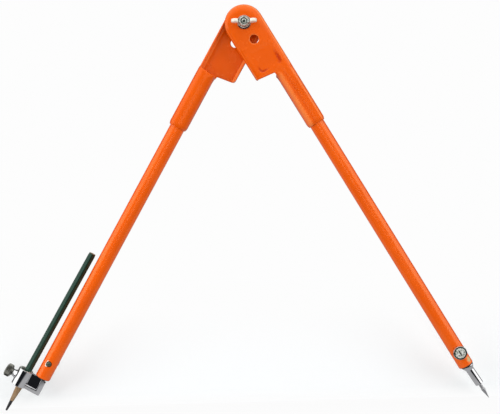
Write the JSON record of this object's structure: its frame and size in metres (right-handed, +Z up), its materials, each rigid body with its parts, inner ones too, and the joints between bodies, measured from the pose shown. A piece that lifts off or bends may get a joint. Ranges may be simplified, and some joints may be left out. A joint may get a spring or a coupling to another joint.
{
  "type": "carpenters compass",
  "caption": "Large wing-nut compass for marking out, with tube legs, a steel needle on one and a clamped pencil on the other.",
  "frame": {"origin": "on the floor under the middle of the whole compass's box, with both points on the floor", "axes": "+Z up from the points to the head, +X from the pencil leg to the needle leg, +Y from the wing nut to the bolt's head"},
  "size_m": [0.4814, 0.0354, 0.3967],
  "materials": {
    "orange_paint": "gloss orange powder coat",
    "chrome": "bright chrome plate",
    "bright_zinc": "bright zinc plate",
    "fibre": "dark fibre",
    "needle_steel": "hardened ground steel",
    "knurled_steel": "knurled nickel-plated steel",
    "pencil_paint": "dark green lacquered cedar, bare at the cone",
    "graphite": "graphite"
  },
  "bodies": {
    "pencil_leg": {"pencil_leg_bracket": "orange_paint", "pencil_leg_tube": "orange_paint", "pivot_bolt": "bright_zinc", "pivot_bush": "bright_zinc", "pencil_leg_friction_washer": "fibre", "pencil_holder": "chrome", "pencil_clamp_ring": "chrome", "pencil_clamp_boss": "chrome"},
    "needle_leg": {"needle_leg_bracket": "orange_paint", "needle_leg_tube": "orange_paint", "needle_leg_friction_washer": "fibre", "needle_holder": "chrome", "needle": "needle_steel"},
    "clamp_washers": {"pivot_washer": "bright_zinc", "pivot_spring_washer": "bright_zinc"},
    "wing_nut": {"pivot_wing_nut": "bright_zinc"},
    "needle_screw": {"needle_holder_screw": "bright_zinc"},
    "pencil_screw": {"pencil_holder_screw": "bright_zinc"},
    "clamp_pad": {"pencil_clamp_pad": "bright_zinc"},
    "clamp_screw": {"pencil_clamp_screw": "knurled_steel"},
    "pencil": {"pencil_body": "pencil_paint", "pencil_lead": "graphite"}
  },
  "joints": [
    {"name": "leg_spread", "type": "hinge", "parent": "pencil_leg", "child": "needle_leg", "pos_m": [0.00684, 0.00419, 0.37734], "axis": [0, -1, 0], "range_deg": [-60, 120]},
    {"name": "washer_travel", "type": "slide", "parent": "pencil_leg", "child": "clamp_washers", "axis": [0, -1, 0], "range_m": [0, 0.0015]},
    {"name": "wing_nut_turn", "type": "hinge", "parent": "clamp_washers", "child": "wing_nut", "pos_m": [0.00684, 0.00419, 0.37734], "axis": [0, -1, 0], "range_deg": [0, 540]},
    {"name": "needle_screw_turn", "type": "hinge", "parent": "needle_leg", "child": "needle_screw", "pos_m": [0.21041, 0.00419, 0.04759], "axis": [0, -1, 0], "range_deg": [0, 720]},
    {"name": "pencil_screw_turn", "type": "hinge", "parent": "pencil_leg", "child": "pencil_screw", "pos_m": [-0.19414, 0.00419, 0.046], "axis": [0, 1, 0], "range_deg": [0, 720]},
    {"name": "clamp_pad_travel", "type": "slide", "parent": "pencil_leg", "child": "clamp_pad", "axis": [-0.868, 0, 0.4966], "range_m": [0, 0.0014]},
    {"name": "clamp_screw_turn", "type": "hinge", "parent": "clamp_pad", "child": "clamp_screw", "pos_m": [-0.2287, 0.00419, 0.0364], "axis": [-0.868, 0, 0.4966], "range_deg": [0, 720]},
    {"name": "pencil_slide", "type": "slide", "parent": "pencil_leg", "child": "pencil", "axis": [-0.5057, 0, -0.8627], "range_m": [-0.02, 0.11]}
  ],
  "couplings": [
    {"joint": "wing_nut_turn", "follows": "washer_travel", "rad_per_m": 6283},
    {"joint": "clamp_screw_turn", "follows": "clamp_pad_travel", "rad_per_m": 8975}
  ]
}
